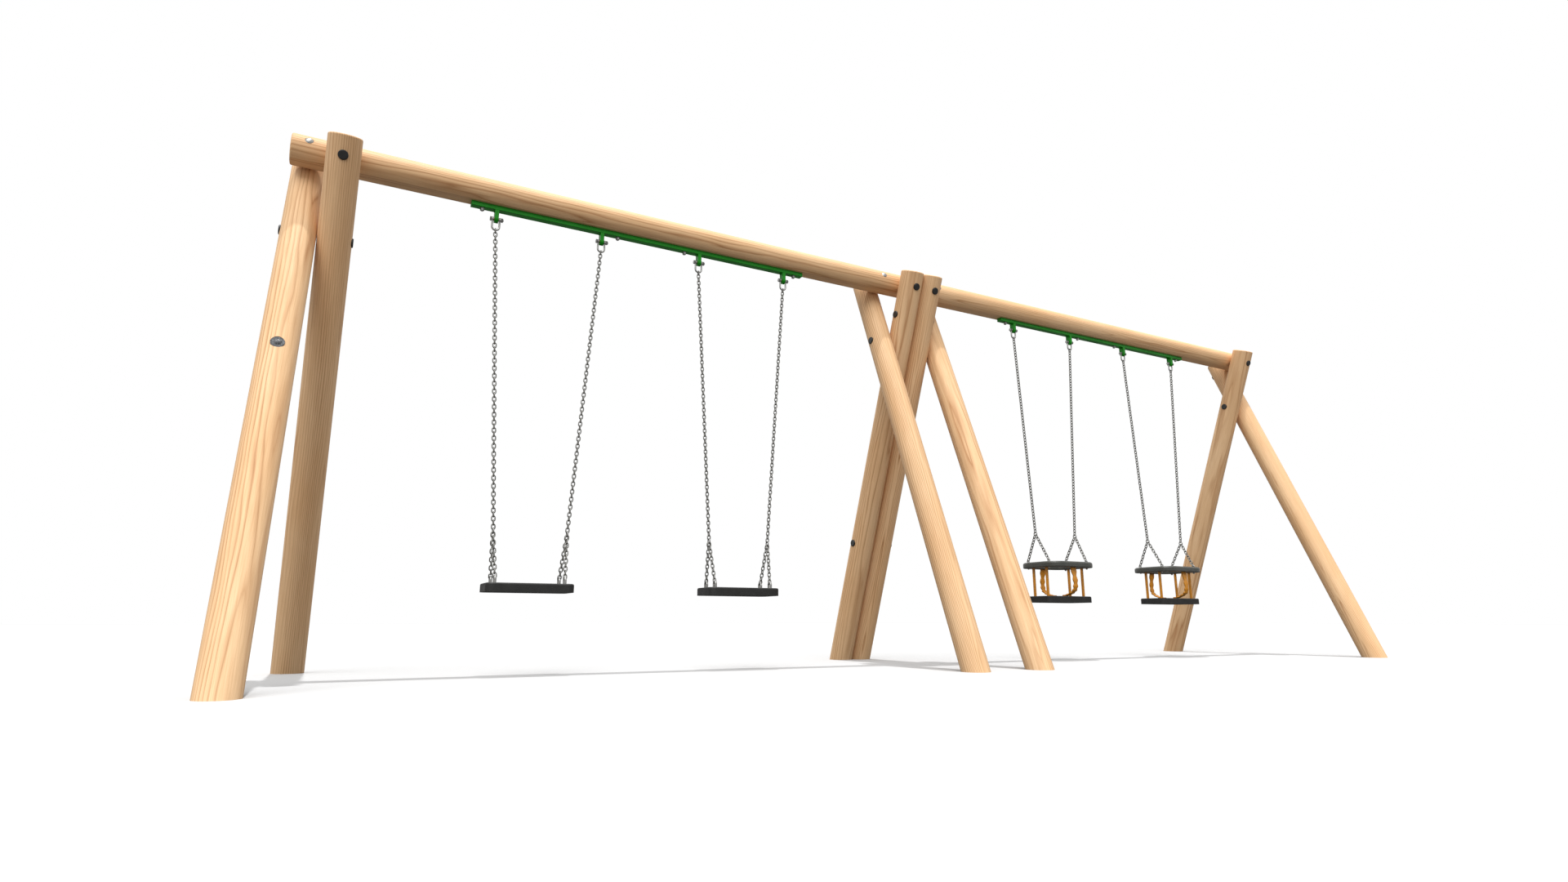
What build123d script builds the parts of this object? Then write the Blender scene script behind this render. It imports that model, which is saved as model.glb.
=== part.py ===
from build123d import *
import os
from math import cos, radians, sin, sqrt, tan

# Two-bay timber swing set: round poles, two flat rubber seats and two cradle seats.
# Millimetres. +X runs along the beams, +Y towards the rear, +Z up.
# The origin is on the ground, under the middle of the beams.

# ---- driving dimensions -------------------------------------------------------
POLE_R = 74.75            # turned pine poles, 149.5 mm across
POLE_PITCH = 150.0        # neighbouring poles stand this far apart
POLE_EDGE = 8.0           # rounded rim of a pole's end
BAY_LENGTH = 3600.0       # one beam
BEAM_Z = 2455.0           # beam axis
BEAM_FLAT = 65.0          # planed underside, below the beam axis
BEAM_GAP = 0.5            # between the two beams where they butt
LEAN = 21.0               # each leg, from upright
LEG_TOP_Z = 2492.0        # middle of a leg's top end

THREAD_R = 6.0            # M12 bolts and rods
HOLE_R = 6.4
NUT_FLATS = 19.0
NUT_H = 10.8
WASHER_R = 15.0
WASHER_H = 2.5
BAR_WASHER_R = 13.0
SPOT_R = 23.5             # spot face under a cap
SPOT_AT = 71.0            # spot face, from the pole's axis
RECESS_R = 17.0           # recess for washer and nut
RECESS_DEPTH = 24.0
CAP_R = 22.5
CAP_H = 9.5
DOME_R = 18.0             # mushroom head of a coach bolt
DOME_H = 8.0
BAR_DOME_R = 15.0         # head of a hanger bar bolt, on top of the beam
BAR_DOME_H = 10.0
THREAD_SHOWN = 3.0        # thread left outside a nut
DOME_SEAT = 73.0          # underside of a leg bolt's head, from the beam's axis

TIE_HEIGHTS = (773.0, 2220.0)   # rods that tie the two middle rear legs

BAR_LENGTH = 1964.0       # hanger bar under each beam
BAR_DEPTH = 40.0
BAR_H = 25.0
BAR_BOLTS = (-926.0, -200.0, 200.0, 926.0)
SEAT_OFFSET = 572.0       # seat middle, from the bay's middle
PIN_OFFSET = 281.0        # shackle pin, from the seat's middle
PIN_Z = 2318.0
LUG_W = 20.0
BUSH_R = 9.0
BUSH_LENGTH = 25.0
BUSH_BORE_R = 6.05

SHACKLE_WIRE_R = 5.0
SHACKLE_LEG_X = 18.5      # middle of a shackle's leg, from the lug's middle
SHACKLE_BOW_Z = 2276.5    # centre of the bow
CHAIN_R = 5.7             # round bar with the mass per metre of 6 mm chain
RING_R = 13.0             # joining ring, to the middle of its wire
RING_WIRE_R = 3.5
CHAIN_GAP = 1.5
FORK_END_GAP = 4.0        # between a fork chain's bar and its fitting

SEAT_W = 422.0            # rubber slab, the same in both kinds of seat
SEAT_DEPTH = 216.0
SEAT_H = 42.0
SEAT_CORNER = 36.0
SEAT_EDGE = 8.0
ANCHOR_X = 167.0          # fittings in the slab, from its middle
ANCHOR_Y = 60.0

FLAT_TOP_Z = 437.0
FLAT_FORK_Z = 690.0
LOOP_WIRE_R = 6.0         # seat shackles
LOOP_HALF = 14.0          # half the loop's width, to the middle of its wire
LOOP_H = 38.0             # above the slab
LOOP_ROOT = 14.0          # moulded into the slab

CRADLE_TOP_Z = 425.0
CRADLE_FORK_Z = 848.0
RIM_W = 420.0             # cradle's top ring
RIM_DEPTH = 350.0
RIM_CORNER = 100.0
RIM_BAND = 62.0
RIM_BOTTOM_Z = 618.0
RIM_H = 38.0
EYE_X = 178.0
EYE_Y = 96.0
EYE_R = 8.5
EYE_WIRE_R = 3.5
EYE_SHANK_R = 4.0
EYE_FLANGE_R = 11.0
EYE_FLANGE_H = 3.0
POST_W = 15.0
SPINE_W = 36.0            # flat bar between a child's legs
SPINE_T = 9.0
SPINE_PATH = ((138.0, 618.0), (153.0, 500.0), (130.0, 450.0), (92.0, 429.5), (43.0, 429.5))
SPINE_BEND = 16.0

DISC_R = 27.0             # plain round plate on the first front leg
DISC_H = 4.0
DISC_Z = 1378.0           # leg axis height behind the plate's middle

# ---- worked out from them -----------------------------------------------------
LEAN_SIN = sin(radians(LEAN))
LEAN_COS = cos(radians(LEAN))
FOOT_Y = BEAM_Z * tan(radians(LEAN)) - POLE_PITCH / LEAN_COS
CROSS_Z = FOOT_Y / tan(radians(LEAN))
OUTER_X = BAY_LENGTH - POLE_PITCH / 2
FRONT_LEGS = (-OUTER_X, -1.5 * POLE_PITCH, 1.5 * POLE_PITCH, OUTER_X)
REAR_LEGS = (POLE_PITCH - OUTER_X, -POLE_PITCH / 2, POLE_PITCH / 2, OUTER_X - POLE_PITCH)
BAY_MIDDLES = (-BAY_LENGTH / 2, BAY_LENGTH / 2)
BAR_TOP_Z = BEAM_Z - BEAM_FLAT
BAR_BOTTOM_Z = BAR_TOP_Z - BAR_H
BAR_BOLT_HEAD_Z = BEAM_Z + POLE_R - 1.6
BAR_BOLT_END_Z = BAR_BOTTOM_Z - WASHER_H - NUT_H - THREAD_SHOWN
CHAIN_TOP_Z = SHACKLE_BOW_Z - SHACKLE_LEG_X - SHACKLE_WIRE_R - CHAIN_GAP

nodes = {}


# ---- helpers ------------------------------------------------------------------
def rod(radius, start, end):
    """A round bar between two points."""
    line = Edge.make_line(start, end)
    return extrude(Plane(line @ 0, z_dir=line % 0) * Circle(radius), line.length)


def hex_nut(plane, height=NUT_H, bore=THREAD_R + 0.05):
    body = extrude(plane * RegularPolygon(NUT_FLATS / sqrt(3), 6), height)
    return body - extrude(plane * Circle(bore), height)


def washer(plane, radius=WASHER_R, height=WASHER_H):
    return extrude(plane * (Circle(radius) - Circle(THREAD_R + 0.3)), height)


def dome(plane, radius=DOME_R, height=DOME_H):
    """A mushroom head standing on a plane."""
    ball_r = (radius ** 2 + height ** 2) / (2 * height)
    ball = Pos(0, 0, height - ball_r) * Sphere(ball_r)
    return plane.location * split(ball, bisect_by=Plane.XY, keep=Keep.TOP)


def along(point, direction, distance):
    return Vector(*point) + Vector(*direction) * distance


def outward_plane(point, direction, distance, x_dir=(1, 0, 0)):
    """A plane at a distance from a point, facing along a direction."""
    return Plane(along(point, direction, distance), x_dir=x_dir, z_dir=direction)


def nut_pocket(plane):
    """Spot face and recess that hide a nut below a cap; the plane is the spot face."""
    face_cut = extrude(plane * Circle(SPOT_R), POLE_R)
    recess = extrude(plane * Circle(RECESS_R), -RECESS_DEPTH)
    return face_cut + recess


def cap(plane):
    """Black plastic cap with a spigot that pushes into the recess."""
    disc = extrude(plane * Circle(CAP_R), CAP_H)
    rims = disc.edges().filter_by(GeomType.CIRCLE)
    rim = rims.sort_by_distance(plane.origin + plane.z_dir * 2 * CAP_H)[0]
    disc = fillet(rim, 4.0)
    return disc + extrude(plane * (Circle(RECESS_R - 0.3) - Circle(RECESS_R - 3.0)), -6.0)


def group(parts):
    return Compound(children=list(parts))


def rounded_slab(width, depth, height, corner, top_edge, bottom_z):
    """A slab with rounded corners and a soft top edge, centred on the Z axis."""
    slab = extrude(Pos(0, 0, bottom_z) * RectangleRounded(width, depth, corner), height)
    return fillet(slab.faces().sort_by(Axis.Z)[-1].edges(), top_edge)


# ---- where the bolts run ------------------------------------------------------
def leg_side(kind):
    """A front leg has its foot at -Y and its top behind the beam; a rear leg the other way."""
    return -1 if kind == "front" else 1


def leg_point(kind, x, z):
    side = leg_side(kind)
    return Vector(x, side * (FOOT_Y - z * tan(radians(LEAN))), z)


def bolt_direction(kind):
    """From the beam's axis out through the leg, square to the leg."""
    return (0, -leg_side(kind) * LEAN_COS, -LEAN_SIN)


def leg_bolts_of_bay(bay):
    pairs = [("front", FRONT_LEGS[2 * bay]), ("rear", REAR_LEGS[2 * bay])]
    return pairs + [("rear", REAR_LEGS[2 * bay + 1]), ("front", FRONT_LEGS[2 * bay + 1])]


ALL_LEG_BOLTS = leg_bolts_of_bay(0) + leg_bolts_of_bay(1)

# Rods along X through the leg crossings, from the first pole that each one clamps to the last.
CROSSING_RODS = [
    (FRONT_LEGS[0], REAR_LEGS[0]),
    (FRONT_LEGS[1], FRONT_LEGS[2]),
    (REAR_LEGS[3], FRONT_LEGS[3]),
]
ROD_RUNS = [(low, high, 0.0, CROSS_Z) for low, high in CROSSING_RODS]
ROD_RUNS += [(REAR_LEGS[1], REAR_LEGS[2], leg_point("rear", 0, z).Y, z) for z in TIE_HEIGHTS]


def rod_end_planes(run):
    low, high, y, z = run
    left = outward_plane((low, y, z), (-1, 0, 0), SPOT_AT, x_dir=(0, 1, 0))
    right = outward_plane((high, y, z), (1, 0, 0), SPOT_AT, x_dir=(0, 1, 0))
    return [left, right]


def leg_bolt_plane(kind, x):
    """The spot face of a leg bolt, on the leg's far side from the beam."""
    return outward_plane((x, 0, BEAM_Z), bolt_direction(kind), POLE_PITCH + SPOT_AT)


def leg_bolt_head_plane(kind, x):
    back = tuple(-c for c in bolt_direction(kind))
    return outward_plane((x, 0, BEAM_Z), back, DOME_SEAT)


# ---- legs ---------------------------------------------------------------------
def make_leg(kind, x):
    side = leg_side(kind)
    direction = (0, -side * LEAN_SIN, LEAN_COS)
    below = leg_point(kind, x, -2 * POLE_R)
    top = leg_point(kind, x, LEG_TOP_Z)
    leg = rod(POLE_R, below, top)
    rim = leg.edges().filter_by(GeomType.CIRCLE).sort_by_distance(along(top, direction, POLE_R))[0]
    leg = fillet(rim, POLE_EDGE)
    leg = split(leg, bisect_by=Plane.XY, keep=Keep.TOP)
    bolt_plane = leg_bolt_plane(kind, x)
    leg -= nut_pocket(bolt_plane)
    leg -= extrude(bolt_plane * Circle(HOLE_R), -2 * POLE_R - RECESS_DEPTH)
    for run in ROD_RUNS:
        low, high, y, z = run
        same_line = abs(leg_point(kind, x, z).Y - y) < 1
        if low - 1 < x < high + 1 and same_line:
            leg -= rod(HOLE_R, (x - POLE_R - 1, y, z), (x + POLE_R + 1, y, z))
            for end_x, plane in zip((low, high), rod_end_planes(run)):
                if abs(x - end_x) < 1:
                    leg -= nut_pocket(plane)
    return leg


for number, (front_x, rear_x) in enumerate(zip(FRONT_LEGS, REAR_LEGS), start=1):
    nodes[f"front_leg_{number}"] = make_leg("front", front_x)
    nodes[f"rear_leg_{number}"] = make_leg("rear", rear_x)


# ---- beams --------------------------------------------------------------------
def make_beam(bay):
    middle = BAY_MIDDLES[bay]
    half = BAY_LENGTH / 2 - BEAM_GAP / 2
    shift = BEAM_GAP / 4 * (1 if bay else -1)
    beam = rod(POLE_R, (middle - half + shift, 0, BEAM_Z), (middle + half + shift, 0, BEAM_Z))
    ends = beam.edges().filter_by(GeomType.CIRCLE)
    beam = fillet(ends, POLE_EDGE)
    beam = split(beam, bisect_by=Plane.XY.offset(BAR_TOP_Z), keep=Keep.TOP)
    for kind, x in leg_bolts_of_bay(bay):
        head_plane = leg_bolt_head_plane(kind, x)
        beam -= extrude(head_plane * Circle(DOME_R + 1.0), POLE_R)
        beam -= extrude(head_plane * Circle(HOLE_R), -2 * POLE_R)
    for offset in BAR_BOLTS:
        beam -= Pos(middle + offset, 0, BEAM_Z) * Cylinder(HOLE_R, 3 * POLE_R)
        seat = Plane((middle + offset, 0, BAR_BOLT_HEAD_Z))
        beam -= extrude(seat * Circle(BAR_DOME_R + 1.0), POLE_R)
    return beam


nodes["left_beam"] = make_beam(0)
nodes["right_beam"] = make_beam(1)


# ---- hanger bars and what holds them -------------------------------------------
def pin_xs(bay):
    seats = [BAY_MIDDLES[bay] + s * SEAT_OFFSET for s in (-1, 1)]
    return [seat + s * PIN_OFFSET for seat in seats for s in (-1, 1)]


def make_bar(bay):
    middle = BAY_MIDDLES[bay]
    bar = Pos(middle, 0, BAR_TOP_Z - BAR_H / 2) * Box(BAR_LENGTH, BAR_DEPTH, BAR_H)
    bar = fillet(bar.edges().filter_by(Axis.X), 2.5)
    for offset in BAR_BOLTS:
        bar -= Pos(middle + offset, 0, BAR_TOP_Z) * Cylinder(HOLE_R, 3 * BAR_H)
    return bar


def make_lug(x):
    """A plate welded under the bar, rounded about its pin."""
    side_view = Plane((x - LUG_W / 2, 0, 0), x_dir=(0, 1, 0), z_dir=(1, 0, 0))
    plate_h = BAR_BOTTOM_Z - PIN_Z
    plate = Pos(0, PIN_Z + plate_h / 2) * Rectangle(BAR_DEPTH, plate_h)
    foot = Pos(0, PIN_Z) * Circle(BAR_DEPTH / 2)
    bore = Pos(0, PIN_Z) * Circle(BUSH_R)
    return extrude(side_view * (plate + foot - bore), LUG_W)


def make_bush(x):
    outer = rod(BUSH_R, (x - BUSH_LENGTH / 2, 0, PIN_Z), (x + BUSH_LENGTH / 2, 0, PIN_Z))
    return outer - rod(BUSH_BORE_R, (x - BUSH_LENGTH, 0, PIN_Z), (x + BUSH_LENGTH, 0, PIN_Z))


for bay, side_name in enumerate(("left", "right")):
    nodes[f"{side_name}_hanger_bar"] = make_bar(bay)
    nodes[f"{side_name}_hanger_lugs"] = group(make_lug(x) for x in pin_xs(bay))
nodes["lug_bushes"] = group(make_bush(x) for bay in (0, 1) for x in pin_xs(bay))

bar_bolt_xs = [middle + offset for middle in BAY_MIDDLES for offset in BAR_BOLTS]


def make_bar_bolt(x):
    head = dome(Plane((x, 0, BAR_BOLT_HEAD_Z)), BAR_DOME_R, BAR_DOME_H)
    return head + rod(THREAD_R, (x, 0, BAR_BOLT_END_Z), (x, 0, BAR_BOLT_HEAD_Z + 1.0))


def below_bar(x, depth):
    return Plane((x, 0, BAR_BOTTOM_Z - depth), x_dir=(1, 0, 0), z_dir=(0, 0, -1))


nodes["hanger_bar_bolts"] = group(make_bar_bolt(x) for x in bar_bolt_xs)
nodes["hanger_bar_washers"] = group(washer(below_bar(x, 0.0), BAR_WASHER_R) for x in bar_bolt_xs)
nodes["hanger_bar_nuts"] = group(hex_nut(below_bar(x, WASHER_H)) for x in bar_bolt_xs)


# ---- bolts through legs and beams ---------------------------------------------
def make_leg_bolt(kind, x):
    head_plane = leg_bolt_head_plane(kind, x)
    nut_plane = leg_bolt_plane(kind, x)
    end = nut_plane.origin - nut_plane.z_dir * (RECESS_DEPTH - WASHER_H - NUT_H - THREAD_SHOWN)
    return dome(head_plane) + rod(THREAD_R, head_plane.origin + head_plane.z_dir, end)


def make_rod(run):
    left, right = rod_end_planes(run)
    inset = RECESS_DEPTH - WASHER_H - NUT_H - THREAD_SHOWN
    return rod(THREAD_R, left.origin - left.z_dir * inset, right.origin - right.z_dir * inset)


cap_planes = [leg_bolt_plane(kind, x) for kind, x in ALL_LEG_BOLTS]
cap_planes += [plane for run in ROD_RUNS for plane in rod_end_planes(run)]
nodes["leg_bolts"] = group(make_leg_bolt(kind, x) for kind, x in ALL_LEG_BOLTS)
nodes["crossing_rods"] = group(make_rod(run) for run in ROD_RUNS[:3])
nodes["tie_rods"] = group(make_rod(run) for run in ROD_RUNS[3:])
nodes["recessed_washers"] = group(washer(p.offset(-RECESS_DEPTH)) for p in cap_planes)
nodes["recessed_nuts"] = group(hex_nut(p.offset(WASHER_H - RECESS_DEPTH)) for p in cap_planes)
nodes["nut_caps"] = group(cap(p) for p in cap_planes)


def make_disc():
    """Blank round plate let into the front of the first leg."""
    normal = (0, -LEAN_COS, LEAN_SIN)
    base = outward_plane(leg_point("front", FRONT_LEGS[0], DISC_Z), normal, SPOT_AT - 2.0)
    plate = extrude(base * Circle(DISC_R), DISC_H)
    raised = dome(base.offset(DISC_H), DISC_R - 12.0, 3.0)
    return base, plate + raised


disc_base, disc = make_disc()
nodes["front_leg_1"] -= extrude(disc_base * Circle(DISC_R + 1.0), POLE_R)
nodes["blank_disc"] = disc


# ---- swings -------------------------------------------------------------------
def chain_x(z, foot_x, foot_z):
    """The chains run straight from the shackle's bow to the fitting on the seat."""
    top_z = SHACKLE_BOW_Z - SHACKLE_LEG_X
    return foot_x + (PIN_OFFSET - foot_x) * (z - foot_z) / (top_z - foot_z)


def make_shackle(x):
    """D shackle with two eyes on the pin and its bow below."""
    left, right = x - SHACKLE_LEG_X, x + SHACKLE_LEG_X
    down = Line((left, 0, PIN_Z), (left, 0, SHACKLE_BOW_Z))
    lowest = (x, 0, SHACKLE_BOW_Z - SHACKLE_LEG_X)
    bow = ThreePointArc((left, 0, SHACKLE_BOW_Z), lowest, (right, 0, SHACKLE_BOW_Z))
    up = Line((right, 0, SHACKLE_BOW_Z), (right, 0, PIN_Z))
    body = sweep(Plane((left, 0, PIN_Z)) * Circle(SHACKLE_WIRE_R), path=down + bow + up)
    half = SHACKLE_WIRE_R - 0.6
    for eye_x in (left, right):
        body += rod(11.0, (eye_x - half, 0, PIN_Z), (eye_x + half, 0, PIN_Z))
    reach = SHACKLE_LEG_X + 2 * SHACKLE_WIRE_R
    return body - rod(THREAD_R + 0.1, (x - reach, 0, PIN_Z), (x + reach, 0, PIN_Z))


def make_shackle_bolt(x):
    """Bolt and nut: two solids side by side on one pin."""
    face = SHACKLE_LEG_X + SHACKLE_WIRE_R
    shank = rod(THREAD_R, (x - face - 1.0, 0, PIN_Z), (x + face + NUT_H + THREAD_SHOWN, 0, PIN_Z))
    head_plane = Plane((x - face, 0, PIN_Z), x_dir=(0, 1, 0), z_dir=(-1, 0, 0))
    nut_plane = Plane((x + face, 0, PIN_Z), x_dir=(0, 1, 0), z_dir=(1, 0, 0))
    head = extrude(head_plane * RegularPolygon(NUT_FLATS / sqrt(3), 6), 7.5)
    return [shank + head, hex_nut(nut_plane)]


def make_chain(side, middle, foot, fork_z):
    end_z = fork_z + RING_R + RING_WIRE_R + CHAIN_GAP
    top = (middle + side * chain_x(CHAIN_TOP_Z, *foot), 0, CHAIN_TOP_Z)
    return rod(CHAIN_R, top, (middle + side * chain_x(end_z, *foot), 0, end_z))


def make_fork_ring(side, middle, foot, fork_z):
    place = Pos(middle + side * chain_x(fork_z, *foot), 0, fork_z)
    return place * Rot(0, 90, 0) * Torus(RING_R, RING_WIRE_R)


def make_fork_leg(side, middle, foot, fork_z, depth_side, foot_y):
    """One slanting chain, from just below the joining ring to just above its fitting."""
    ring = Vector(middle + side * chain_x(fork_z, *foot), 0, fork_z)
    end = Vector(middle + side * foot[0], depth_side * foot_y, foot[1])
    run = (end - ring).normalized()
    start_gap = RING_R + RING_WIRE_R + CHAIN_GAP
    return rod(CHAIN_R, ring + run * start_gap, end - run * FORK_END_GAP)


def add_hanging(name, middle, foot, foot_y, fork_z):
    """The fittings that every swing has: shackles, bolts, chains, rings and fork chains."""
    sides = (-1, 1)
    nodes[f"{name}_shackles"] = group(make_shackle(middle + s * PIN_OFFSET) for s in sides)
    bolts = [solid for s in sides for solid in make_shackle_bolt(middle + s * PIN_OFFSET)]
    nodes[f"{name}_shackle_bolts"] = group(bolts)
    nodes[f"{name}_chains"] = group(make_chain(s, middle, foot, fork_z) for s in sides)
    nodes[f"{name}_fork_rings"] = group(make_fork_ring(s, middle, foot, fork_z) for s in sides)
    legs = [make_fork_leg(s, middle, foot, fork_z, d, foot_y) for s in sides for d in (-1, 1)]
    nodes[f"{name}_fork_chains"] = group(legs)


def make_seat_loop(x, y, base_z):
    """Bow shackle standing in the slab, open along X."""
    arc_z = base_z + LOOP_H - LOOP_WIRE_R - LOOP_HALF
    bow = Pos(x, y, arc_z) * Rot(0, 90, 0) * Torus(LOOP_HALF, LOOP_WIRE_R)
    bow = split(bow, bisect_by=Plane.XY.offset(arc_z), keep=Keep.TOP)
    for leg_y in (y - LOOP_HALF, y + LOOP_HALF):
        bow += rod(LOOP_WIRE_R, (x, leg_y, base_z - LOOP_ROOT), (x, leg_y, arc_z))
    return bow


def make_slab(middle, top_z):
    slab = rounded_slab(SEAT_W, SEAT_DEPTH, SEAT_H, SEAT_CORNER, SEAT_EDGE, top_z - SEAT_H)
    return Pos(middle, 0, 0) * slab


def corners(middle, x, y):
    return [(middle + sx * x, sy * y) for sx in (-1, 1) for sy in (-1, 1)]


def add_flat_swing(number, middle):
    name = f"flat_swing_{number}"
    add_hanging(name, middle, (ANCHOR_X, FLAT_TOP_Z + LOOP_H), ANCHOR_Y, FLAT_FORK_Z)
    slab = make_slab(middle, FLAT_TOP_Z)
    for x, y in corners(middle, ANCHOR_X, ANCHOR_Y):
        for leg_y in (y - LOOP_HALF, y + LOOP_HALF):
            slab -= rod(LOOP_WIRE_R, (x, leg_y, FLAT_TOP_Z - LOOP_ROOT), (x, leg_y, FLAT_TOP_Z + 1))
    nodes[f"{name}_seat"] = slab
    loops = [make_seat_loop(x, y, FLAT_TOP_Z) for x, y in corners(middle, ANCHOR_X, ANCHOR_Y)]
    nodes[f"{name}_seat_loops"] = group(loops)


def make_rim(middle):
    """Thick rubber ring round the top of a cradle seat."""
    outer = RectangleRounded(RIM_W, RIM_DEPTH, RIM_CORNER)
    inner_corner = RIM_CORNER - RIM_BAND
    inner = RectangleRounded(RIM_W - 2 * RIM_BAND, RIM_DEPTH - 2 * RIM_BAND, inner_corner)
    rim = extrude(Pos(0, 0, RIM_BOTTOM_Z) * (outer - inner), RIM_H)
    rim = fillet(rim.faces().sort_by(Axis.Z)[-1].edges(), 14.0)
    rim = fillet(rim.faces().sort_by(Axis.Z)[0].edges(), 6.0)
    rim = Pos(middle, 0, 0) * rim
    for x, y in corners(middle, EYE_X, EYE_Y):
        rim -= Pos(x, y, RIM_BOTTOM_Z) * Cylinder(EYE_SHANK_R + 0.2, 4 * RIM_H)
        flange_z = RIM_BOTTOM_Z + RIM_H - EYE_FLANGE_H
        rim -= extrude(Plane((x, y, flange_z)) * Circle(EYE_FLANGE_R + 0.3), RIM_H)
    return rim


def make_eye_bolt(x, y):
    """Eye bolt through the ring, with its nut as a second solid below."""
    top_z = RIM_BOTTOM_Z + RIM_H
    flange = extrude(Plane((x, y, top_z - EYE_FLANGE_H)) * Circle(EYE_FLANGE_R), EYE_FLANGE_H)
    shank = rod(EYE_SHANK_R, (x, y, RIM_BOTTOM_Z - 9.0), (x, y, top_z))
    eye = Pos(x, y, top_z + EYE_R) * Rot(0, 90, 0) * Torus(EYE_R, EYE_WIRE_R)
    nut_plane = Plane((x, y, RIM_BOTTOM_Z), x_dir=(1, 0, 0), z_dir=(0, 0, -1))
    nut = extrude(nut_plane * (RegularPolygon(7.5, 6) - Circle(EYE_SHANK_R + 0.05)), 6.5)
    return [flange + shank + eye, nut]


def make_spine(middle, side):
    """Flat bar from the ring's underside, down and inwards onto the slab."""
    points = [(side * y, z) for y, z in SPINE_PATH]
    path = FilletPolyline(*points, radius=SPINE_BEND)
    profile = trace(path, SPINE_T)
    side_view = Plane((middle - SPINE_W / 2, 0, 0), x_dir=(0, 1, 0), z_dir=(1, 0, 0))
    bar = extrude(side_view * profile, SPINE_W)
    room = Pos(middle, 0, (CRADLE_TOP_Z + RIM_BOTTOM_Z) / 2)
    return bar & (room * Box(2 * SPINE_W, 2 * RIM_DEPTH, RIM_BOTTOM_Z - CRADLE_TOP_Z))


def add_cradle_swing(number, middle):
    name = f"cradle_swing_{number}"
    foot_z = RIM_BOTTOM_Z + RIM_H + 2 * EYE_R + EYE_WIRE_R
    add_hanging(name, middle, (EYE_X, foot_z), EYE_Y, CRADLE_FORK_Z)
    nodes[f"{name}_seat"] = make_slab(middle, CRADLE_TOP_Z)
    nodes[f"{name}_rim"] = make_rim(middle)
    post_h = RIM_BOTTOM_Z - CRADLE_TOP_Z
    post = fillet(Box(POST_W, POST_W, post_h).edges().filter_by(Axis.Z), 2.5)
    post_z = CRADLE_TOP_Z + post_h / 2
    spots = corners(middle, ANCHOR_X, ANCHOR_Y)
    nodes[f"{name}_posts"] = group(Pos(x, y, post_z) * post for x, y in spots)
    nodes[f"{name}_spines"] = group(make_spine(middle, s) for s in (-1, 1))
    eyes = [solid for x, y in corners(middle, EYE_X, EYE_Y) for solid in make_eye_bolt(x, y)]
    nodes[f"{name}_eye_bolts"] = group(eyes)


for number, offset in enumerate((-SEAT_OFFSET, SEAT_OFFSET), start=1):
    add_flat_swing(number, BAY_MIDDLES[0] + offset)
    add_cradle_swing(number, BAY_MIDDLES[1] + offset)

# ---- files --------------------------------------------------------------------
os.makedirs("parts", exist_ok=True)
for name, shape in nodes.items():
    export_step(shape, f"parts/{name}.step")
print(len(nodes), "nodes; feet at y =", round(FOOT_Y, 1), "mm; legs cross at", round(CROSS_Z, 1), "mm")
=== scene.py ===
import math

import bpy
from bpy.props import FloatProperty, FloatVectorProperty, IntProperty, PointerProperty
from mathutils import Euler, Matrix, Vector


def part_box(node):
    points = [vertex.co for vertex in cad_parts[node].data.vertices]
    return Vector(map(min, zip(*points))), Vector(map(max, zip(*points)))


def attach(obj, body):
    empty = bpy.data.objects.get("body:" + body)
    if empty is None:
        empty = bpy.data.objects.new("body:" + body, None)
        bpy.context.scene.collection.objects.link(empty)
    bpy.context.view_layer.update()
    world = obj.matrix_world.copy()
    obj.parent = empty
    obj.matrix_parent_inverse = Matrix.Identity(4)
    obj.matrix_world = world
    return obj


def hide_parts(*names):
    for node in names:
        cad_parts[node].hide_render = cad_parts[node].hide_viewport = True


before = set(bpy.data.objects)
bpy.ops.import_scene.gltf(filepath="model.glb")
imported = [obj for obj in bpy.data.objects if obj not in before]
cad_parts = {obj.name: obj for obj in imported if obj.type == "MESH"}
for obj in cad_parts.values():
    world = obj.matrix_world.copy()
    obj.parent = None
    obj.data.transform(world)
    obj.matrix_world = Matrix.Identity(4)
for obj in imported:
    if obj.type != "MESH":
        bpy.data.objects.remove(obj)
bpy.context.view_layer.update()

bl_info = {
    "name": "Timber swing set",
    "version": (1, 0, 0),
    "blender": (4, 5, 0),
    "location": "3D View > Sidebar > Swing set",
    "description": "Pine frame with two flat rubber seats and two cradle seats on chains",
    "category": "Object",
}

FLAT_SWINGS = ("flat_swing_1", "flat_swing_2")
CRADLE_SWINGS = ("cradle_swing_1", "cradle_swing_2")
SWINGS = FLAT_SWINGS + CRADLE_SWINGS

# ---- measures of the frame's own parts, in metres ---------------------------------------
LEAN = math.radians(21)              # each leg, from upright
POLE_RADIUS = 0.075
BEAM_AXIS_Z = 2.455
BAR_UNDERSIDE_Z = 2.365
LUG_HALF_WIDTH = 0.010
LUG_HALF_DEPTH = 0.020
BOW_SPAN = 0.037                     # between the middles of a shackle's two legs
BOW_WIRE_Z = 2.258                   # middle of the wire at the bottom of a shackle's bow
BOW_WIRE_RADIUS = 0.005
RING_WIRE_RADIUS = 0.0035            # joining ring of a fork
LOOP_WIRE_RADIUS = 0.006             # loop moulded into a flat seat
LOOP_REACH_Y = 0.060                 # from the seat's middle line to a loop
EYE_WIRE_RADIUS = 0.0035             # eye bolt in a cradle's rim
EYE_HALF_WIDTH = 0.011
EYE_REACH_Y = 0.096                  # from the rim's middle line to an eye bolt

# ---- turned pine --------------------------------------------------------------------------
PITH_OFFSET = 0.058                  # from the pole's axis to the middle of its growth rings
WAVE_RADIANS = 20                    # turn of the wave texture in one unit of its scale

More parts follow.
